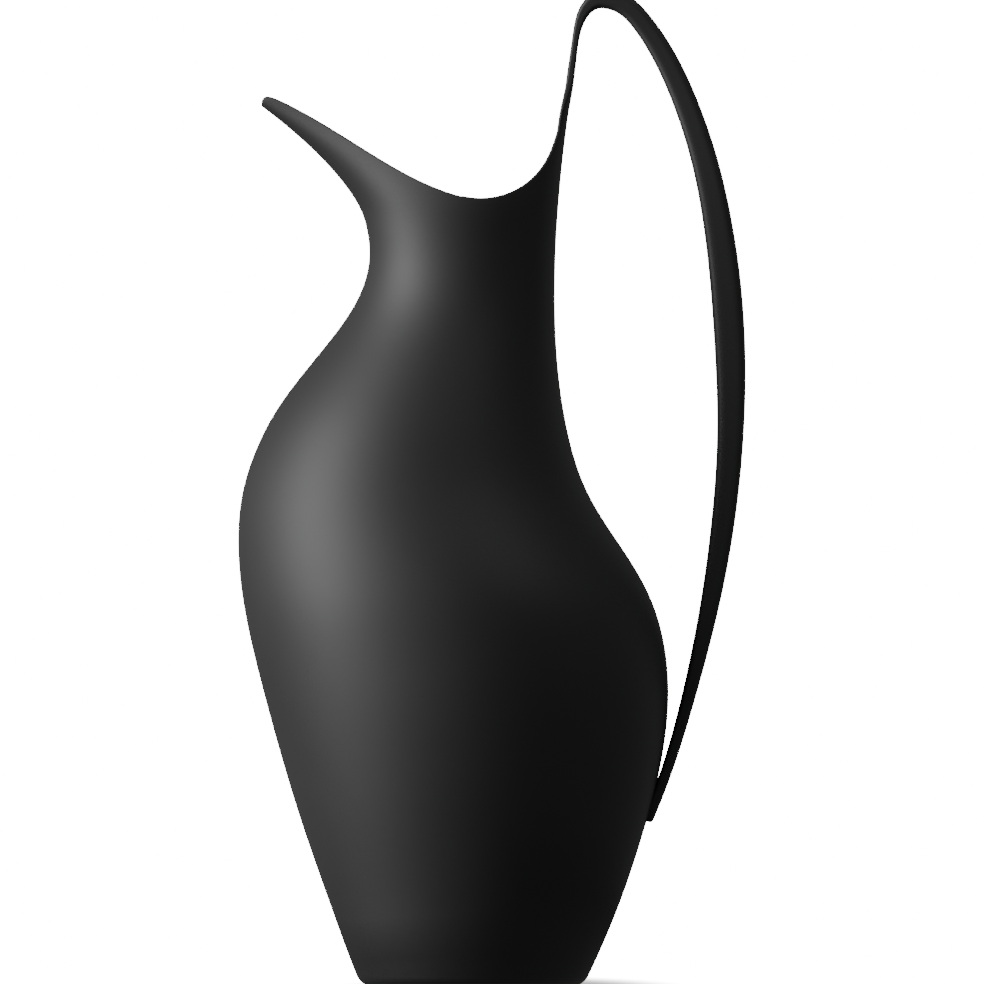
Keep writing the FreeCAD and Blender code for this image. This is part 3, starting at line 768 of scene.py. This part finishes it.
# A low black card bent round the foot, out of the camera's sight, keeps the light off the jug's lowest part.
CARD_RADIUS = 0.085
CARD_FOOT = 0.0005
CARD_HEIGHT = 0.0126
CARD_SIDES = 64
around = [2 * math.pi * number / CARD_SIDES for number in range(CARD_SIDES)]
card_corners = [
    (CARD_RADIUS * math.cos(turn), CARD_RADIUS * math.sin(turn), z)
    for z in (CARD_FOOT, CARD_HEIGHT) for turn in around]
card_sides = [
    (n, (n + 1) % CARD_SIDES, CARD_SIDES + (n + 1) % CARD_SIDES, CARD_SIDES + n) for n in range(CARD_SIDES)]
card = make_piece("card", card_corners, card_sides)
card.data.materials.append(plain("card_black", (0.0, 0.0, 0.0)))
card.visible_camera = False

# The world lights the jug softly and shows the camera the same white as the floor.
SURROUND = 0.1428
world = bpy.data.worlds.new("studio")
bpy.context.scene.world = world
world.use_nodes = True
world_tree = world.node_tree
background = world_tree.nodes["Background"]
background.inputs["Color"].default_value = (1, 1, 1, 1)
background.inputs["Strength"].default_value = SURROUND
backdrop = world_tree.nodes.new("ShaderNodeBackground")
backdrop.inputs["Strength"].default_value = WHITE
sight = world_tree.nodes.new("ShaderNodeLightPath")
either = world_tree.nodes.new("ShaderNodeMixShader")
world_tree.links.new(sight.outputs["Is Camera Ray"], either.inputs["Fac"])
world_tree.links.new(background.outputs["Background"], either.inputs[1])
world_tree.links.new(backdrop.outputs["Background"], either.inputs[2])
world_tree.links.new(either.outputs["Shader"], world_tree.nodes["World Output"].inputs["Surface"])


def area_light(name, place, target, width, height, power):
    light = bpy.data.lights.new(name, "AREA")
    light.shape = "RECTANGLE"
    light.size = width
    light.size_y = height
    light.energy = power
    lamp = bpy.data.objects.new(name, light)
    bpy.context.scene.collection.objects.link(lamp)
    lamp.location = place
    lamp.rotation_euler = (Vector(target) - Vector(place)).to_track_quat("-Z", "Y").to_euler()


BELLY = (0, 0, 0.14)
SHOULDER = (0, 0, 0.16)
KEY_TURN = math.radians(73.586)
KEY_REACH = 1.4
KEY_HEIGHT = 0.5107
KEY_PLACE = (-KEY_REACH * math.sin(KEY_TURN), -KEY_REACH * math.cos(KEY_TURN), KEY_HEIGHT)
# Name, place, target, width, height and power of each light.
for light_values in [
    ("key", KEY_PLACE, BELLY, 0.635, 1.517, 40.238),
    ("shoulder", (-1.032, -0.85, 1.15), SHOULDER, 0.6, 0.6, 4.092),
    ("rim", (1.1, 1.0, 0.5), BELLY, 0.8, 1.4, 0.242),
    ("top", (1.215, -0.9, 1.992), SHOULDER, 0.9, 0.9, 7.256),
]:
    area_light(*light_values)


# Camera: the photograph's side view through a long lens

DISTANCE = 9.0
PHOTO_PIXELS = 984
MM_PER_PIXEL = 0.29146
FRAME_WIDTH = PHOTO_PIXELS * MM_PER_PIXEL * MM
SENSOR = 36.0
CENTRE = (5.77 * MM, 0.0, 143.98 * MM)
camera = bpy.data.cameras.new("camera")
camera.sensor_width = SENSOR
camera.lens = SENSOR * DISTANCE / FRAME_WIDTH
camera.clip_start = 0.05
camera.clip_end = 100.0
eye = bpy.data.objects.new("camera", camera)
bpy.context.scene.collection.objects.link(eye)
eye.location = (CENTRE[0], -DISTANCE, CENTRE[2])
eye.rotation_euler = (math.pi / 2, 0, 0)
bpy.context.scene.camera = eye
